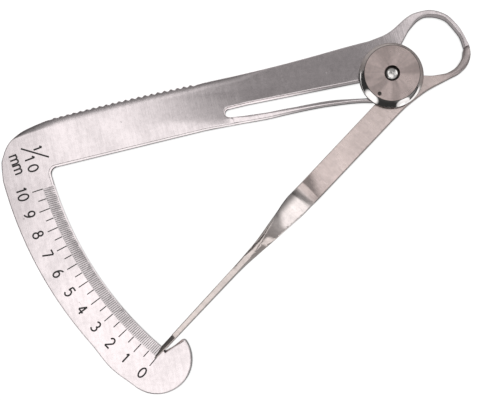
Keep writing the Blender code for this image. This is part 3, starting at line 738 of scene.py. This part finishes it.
def pin_drill(material):
    """Cylinder that cuts the pin's hole."""
    solid = bmesh.new()
    bmesh.ops.create_cone(solid, cap_ends=True, segments=TURNED_STEPS, radius1=PIN_HOLE_RADIUS,
                          radius2=PIN_HOLE_RADIUS, depth=2 * DISC_HEIGHT)
    place = to_world() @ polar(PIN_OFFSET, PIN_TURN)
    bmesh.ops.translate(solid, verts=solid.verts, vec=(place.x, place.y, DISC_TOP))
    return add_piece("pin_drill", new_mesh("pin_drill", solid), material)


def disc_slot(polygon):
    """Material slot of a face of the disc: its rim and all that is sunk in its face get the dark steel as
    painted shade.
    """
    if polygon.center.z < DISC_RIM_TOP:
        return PAINTED_SHADE_SLOT
    if polygon.center.xy.length > DISC_FACE_RADIUS:
        return BEVEL_SLOT
    return PAINTED_SHADE_SLOT if polygon.center.z < DISC_TOP - WELD else FACE_SLOT


def build_disc(face_material, bevel_material, shade_material):
    disc = add_piece("disc_body", turned_mesh("disc_body", disc_profile()), face_material)
    drill = pin_drill(shade_material)
    disc.data = changed_mesh(combine(disc, drill, "DIFFERENCE"), merge_flat)
    bpy.data.objects.remove(drill)
    disc.data.materials.clear()
    for material in (face_material, bevel_material, shade_material):
        disc.data.materials.append(material)
    for polygon in disc.data.polygons:
        polygon.material_index = disc_slot(polygon)
    round_shading(disc, DISC_SHARP_TURN)
    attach(disc, "lever")
    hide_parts("pivot_disc")


def bevel_height(radius):
    """Height of the graduated face at a radius: the bevel and then the flat plate."""
    share = (radius - INNER_RADIUS) / BEVEL_WIDTH
    return BEVEL_EDGE_HEIGHT + (PLATE_THICKNESS - BEVEL_EDGE_HEIGHT) * min(1, share)


def add_mark(solid, turn, inner, outer, width):
    """One engraved line, a thin bar sunk in the face along a radius."""
    side = direction(turn + 90) * width / 2
    corners = []
    for radius in (inner, outer):
        for offset in (-side, side):
            for depth in (-MARK_DEPTH, MARK_RISE):
                place = polar(radius, turn) + offset
                place.z = bevel_height(radius) + depth
                corners.append(solid.verts.new(place))
    for loop in ((0, 1, 3, 2), (4, 6, 7, 5), (0, 4, 5, 1), (2, 3, 7, 6), (0, 2, 6, 4), (1, 5, 7, 3)):
        solid.faces.new([corners[i] for i in loop])


def finish_marks(solid, name, material):
    bmesh.ops.recalc_face_normals(solid, faces=solid.faces)
    solid.transform(to_world())
    piece = add_piece(name, new_mesh(name, solid), material)
    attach(piece, "frame")


def build_graduation(material, fine_material):
    """Fine lines on the bevel, and longer marks outside it at each half and whole number."""
    fine = bmesh.new()
    marks = bmesh.new()
    step = (MARK_ZERO_TURN - MARK_TEN_TURN) / DIVISIONS
    for i in range(DIVISIONS + 1):
        turn = MARK_TEN_TURN + i * step
        if 0 < i < DIVISIONS:
            add_mark(fine, turn, INNER_RADIUS + FINE_INSET, BEVEL_END - FINE_INSET, FINE_WIDTH)
        if i % HALF_STEP == 0:
            length = HALF_LENGTH if i % WHOLE_STEP else WHOLE_LENGTH
            add_mark(marks, turn, BEVEL_END, BEVEL_END + length, MARK_WIDTH)
    finish_marks(fine, "scale_fine_lines", fine_material)
    finish_marks(marks, "scale_marks", material)


def oval(x, y, wide, high, start, end):
    """Stretch of an oval in a letter's own cell, which is one wide and one high."""
    count = max(2, math.ceil(abs(end - start) / ARC_STEP))
    turns = [math.radians(start + (end - start) * i / count) for i in range(count + 1)]
    return [(x + wide * math.cos(turn), y + high * math.sin(turn)) for turn in turns]


def glyph_shares():
    """Strokes of the numbers and letters, through points that are shares of the cell's width and height."""
    six_tail = oval(0.86, 0.36, 0.72, 0.66, 100, 178)
    six = [oval(0.5, 0.31, 0.37, 0.31, 0, 360), six_tail]
    return {
        "0": [oval(0.5, 0.5, 0.42, 0.5, 0, 360)],
        "1": [[(0.22, 0.78), (0.5, 1.0)], [(0.5, 1.0), (0.5, 0.0)]],
        "2": [oval(0.5, 0.7, 0.38, 0.3, 165, -30) + [(0.1, 0.0)], [(0.1, 0.0), (0.92, 0.0)]],
        "3": [oval(0.46, 0.75, 0.36, 0.25, 150, -80), oval(0.46, 0.27, 0.42, 0.27, 80, -150)],
        "4": [[(0.66, 0.0), (0.66, 1.0)], [(0.66, 1.0), (0.06, 0.3)], [(0.06, 0.3), (0.95, 0.3)]],
        "5": [[(0.86, 1.0), (0.24, 1.0)], [(0.24, 1.0), (0.18, 0.55)],
              [(0.18, 0.55)] + oval(0.48, 0.33, 0.4, 0.33, 130, -145)],
        "6": six,
        "7": [[(0.1, 1.0), (0.9, 1.0)], [(0.9, 1.0), (0.36, 0.0)]],
        "8": [oval(0.5, 0.76, 0.31, 0.24, 0, 360), oval(0.5, 0.27, 0.4, 0.27, 0, 360)],
        "9": [[(1 - x, 1 - y) for x, y in stroke] for stroke in six],
        "m": [[(0.0, 0.0), (0.0, 0.72)], oval(0.25, 0.47, 0.25, 0.22, 180, 0) + [(0.5, 0.0)],
              oval(0.75, 0.47, 0.25, 0.22, 180, 0) + [(1.0, 0.0)]],
    }


def write(text, centre, up_turn, height, width, pitch):
    """Strokes of a text in the plan, centred on a point, with its tops to a turn."""
    up = direction(up_turn)
    right = direction(up_turn - 90)
    shapes = glyph_shares()
    strokes = []
    for i, letter in enumerate(text):
        shift = (i - (len(text) - 1) / 2) * pitch
        for stroke in shapes[letter]:
            strokes.append([centre + right * (shift + (x - 0.5) * width) + up * (y - 0.5) * height
                            for x, y in stroke])
    return strokes


def number_strokes():
    """The numbers of the whole divisions, and the unit that a fine division stands for."""
    strokes = [[Vector((x, y, 0)) for x, y in UNIT_SLASH]]
    last = DIVISIONS // WHOLE_STEP
    for number in range(last + 1):
        turn = MARK_ZERO_TURN + (MARK_TEN_TURN - MARK_ZERO_TURN) * number / last + NUMBER_TURN_SHIFT
        strokes += write(str(number), polar(NUMBER_RADIUS, turn), turn + 180, NUMBER_HEIGHT, NUMBER_WIDTH,
                         NUMBER_WIDTH)
    for word, (x, y), height, width, pitch in UNIT_WORDS:
        strokes += write(word, Vector((x, y, 0)), UNIT_UP_TURN, height, width, pitch)
    return strokes


def stroke_mesh(strokes):
    """Round bars along the strokes."""
    curve = bpy.data.curves.new("scale_numbers", "CURVE")
    curve.dimensions = "3D"
    curve.bevel_depth = STROKE_WIDTH / 2
    curve.bevel_resolution = STROKE_ROUNDNESS
    curve.use_fill_caps = True
    for stroke in strokes:
        closed = (stroke[0] - stroke[-1]).length < WELD
        points = stroke[:-1] if closed else stroke
        spline = curve.splines.new("POLY")
        spline.points.add(len(points) - 1)
        for point, place in zip(spline.points, points):
            point.co = (place.x, place.y, 0, 1)
        spline.use_cyclic_u = closed
    guide = bpy.data.objects.new("scale_numbers", curve)
    bpy.context.scene.collection.objects.link(guide)
    mesh = evaluated_mesh(guide)
    bpy.data.objects.remove(guide)
    return mesh


def build_lettering(strokes, material):
    """Engraved strokes as flattened bars, sunk in the plate's face."""
    mesh = stroke_mesh(strokes)
    flatten = Matrix.Diagonal((1, 1, STROKE_RISE_SHARE, 1))
    mesh.transform(to_world() @ Matrix.Translation((0, 0, PLATE_THICKNESS)) @ flatten)
    mesh.shade_smooth()
    piece = add_piece("scale_numbers", mesh, material)
    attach(piece, "frame")


def build_camera():
    data = bpy.data.cameras.new("camera")
    camera = bpy.data.objects.new("camera", data)
    bpy.context.scene.collection.objects.link(camera)
    across = (PLUMB_PIXEL[0] - PIVOT_PIXEL[0]) / PIXELS_PER_METRE
    ahead = (PIVOT_PIXEL[1] - PLUMB_PIXEL[1]) / PIXELS_PER_METRE
    camera.location = (across, ahead, PLATE_THICKNESS + CAMERA_RISE)
    data.sensor_width = SENSOR_WIDTH
    data.sensor_fit = "HORIZONTAL"
    data.lens = SENSOR_WIDTH * PIXELS_PER_METRE * CAMERA_RISE / IMAGE_WIDTH
    data.shift_x = (IMAGE_WIDTH / 2 - PLUMB_PIXEL[0]) / IMAGE_WIDTH
    data.shift_y = (PLUMB_PIXEL[1] - IMAGE_HEIGHT / 2) / IMAGE_WIDTH
    data.clip_start = CAMERA_NEAR
    bpy.context.scene.camera = camera


def ceiling_light(nodes, x, y, z):
    """Wide light overhead, with soft edges given by slopes."""
    rise = nodes.math("MAXIMUM", z, LOWEST_RISE)
    across = nodes.math("DIVIDE", x, rise)
    ahead = nodes.math("DIVIDE", y, rise)
    arm = to_world() @ direction(0)
    outward = nodes.math("ADD", nodes.math("MULTIPLY", across, arm.x), nodes.math("MULTIPLY", ahead, arm.y))
    opening = nodes.math("MAXIMUM", nodes.ramp(ahead, CEILING_FAR_SLOPES),
                         nodes.ramp(outward, CEILING_ARM_SLOPES))
    sides = [nodes.ramp(value, bounds) for value, bounds in ((ahead, CEILING_NEAR_SLOPES),
                                                             (across, CEILING_LEFT_SLOPES),
                                                             (across, CEILING_RIGHT_SLOPES))]
    return nodes.math("MULTIPLY", opening, CEILING_STRENGTH, *sides)


def box_light(nodes, aim, inner, outer, strength, place):
    """Soft round light in one direction."""
    bounds = (math.cos(math.radians(outer)), math.cos(math.radians(inner)))
    return nodes.ramp(nodes.dot(place, Vector(aim).normalized()), bounds, 0.0, strength)


def build_studio():
    """White surround for the camera, and for the steel a ceiling light, boxes and a dim room."""
    world = bpy.data.worlds.new("studio")
    bpy.context.scene.world = world
    world.use_nodes = True
    world.node_tree.nodes.clear()
    nodes = Nodes(world.node_tree)
    place = nodes.add("ShaderNodeTexCoord").outputs["Generated"]
    x, y, z = nodes.split(place)
    ambient = nodes.ramp(z, AMBIENT_HEIGHTS, AMBIENT_LOW, AMBIENT_HIGH)
    boxes = [box_light(nodes, *box, place) for box in SOFTBOXES]
    level = nodes.math("ADD", ceiling_light(nodes, x, y, z), ambient, *boxes)
    strength = nodes.between(nodes.seen(), level, 1.0)
    background = nodes.add("ShaderNodeBackground", {"Color": opaque(WHITE), "Strength": strength})
    nodes.add("ShaderNodeOutputWorld", {"Surface": background.outputs[0]})


def floor_level(nodes, near, openness, shown, shaded, mirrored):
    """Level of the table to the camera and in the steel, both with a little contact shadow."""
    seen = nodes.ramp(openness, CONTACT_RANGE, CONTACT_SEEN * shown, shown)
    contact = nodes.ramp(openness, CONTACT_RANGE, CONTACT_MIRRORED, 1.0)
    reflected = nodes.math("MULTIPLY", nodes.ramp(near, FLOOR_SHADED_REACH, shaded, mirrored), contact)
    return nodes.between(nodes.seen(), reflected, seen)


def floor_material():
    """White table for the camera and a dimmer one in the steel, dimmest near the strip and the disc."""
    material, nodes = new_material("table_white")
    _, side, _ = nodes.split(nodes.place(ARM_ANGLE + LEVER_TURN))
    beside = nodes.math("ABSOLUTE", nodes.math("SUBTRACT", side, FLOOR_SHADED_SIDE))
    reach = nodes.add("ShaderNodeVectorMath", {0: nodes.place()}, operation="LENGTH").outputs["Value"]
    near = nodes.math("MINIMUM", beside, reach)
    openness = nodes.add("ShaderNodeAmbientOcclusion", {"Distance": CONTACT_REACH},
                         samples=CONTACT_SAMPLES).outputs["AO"]
    matte = nodes.add("ShaderNodeBsdfDiffuse", {"Color": floor_level(nodes, near, openness, *FLOOR_MATTES)})
    glow = nodes.add("ShaderNodeEmission", {"Strength": floor_level(nodes, near, openness, *FLOOR_GLOWS)})
    both = nodes.add("ShaderNodeAddShader", {0: matte.outputs[0], 1: glow.outputs[0]})
    nodes.add("ShaderNodeOutputMaterial", {"Surface": both.outputs[0]})
    return material


def build_floor():
    solid = bmesh.new()
    bmesh.ops.create_grid(solid, x_segments=1, y_segments=1, size=FLOOR_SIZE / 2)
    table = add_piece("table", new_mesh("table", solid), floor_material())
    table.location.z = -FLOOR_DROP


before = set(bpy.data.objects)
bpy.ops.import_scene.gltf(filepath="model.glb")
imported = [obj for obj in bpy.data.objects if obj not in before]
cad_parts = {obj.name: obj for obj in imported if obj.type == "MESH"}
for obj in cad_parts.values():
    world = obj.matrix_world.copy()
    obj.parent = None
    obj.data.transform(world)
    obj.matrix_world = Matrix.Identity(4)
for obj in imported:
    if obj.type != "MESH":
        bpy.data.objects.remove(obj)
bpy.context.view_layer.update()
bpy.context.scene.view_settings.view_transform = "Standard"

ground = plate_steel()
bright = plain_steel("bright_steel", *BRIGHT_LOOK)
dark = plain_steel("dark_steel", *PIN_AND_SHADE_LOOK)
mark_fill = engraving("mark_fill", MARK_FILL)
fine_fill = engraving("fine_fill", FINE_FILL)

body_mesh, tongue_mesh = parted_meshes(ground)
build_body(body_mesh, ground, bevel_steel())
build_spring(tongue_mesh, ground)
build_lever(lever_steel())
# the disc's rim and recess take the dark steel as painted shade
build_disc(ringed_steel("disc_steel", *DISC_LOOK), disc_bevel_steel(), dark)
build_graduation(mark_fill, fine_fill)
build_lettering(number_strokes(), mark_fill)
for node, material in (("pivot_rivet", bright), ("disc_pin", dark)):
    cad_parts[node].material_slots[0].material = material

build_camera()
build_studio()
build_floor()
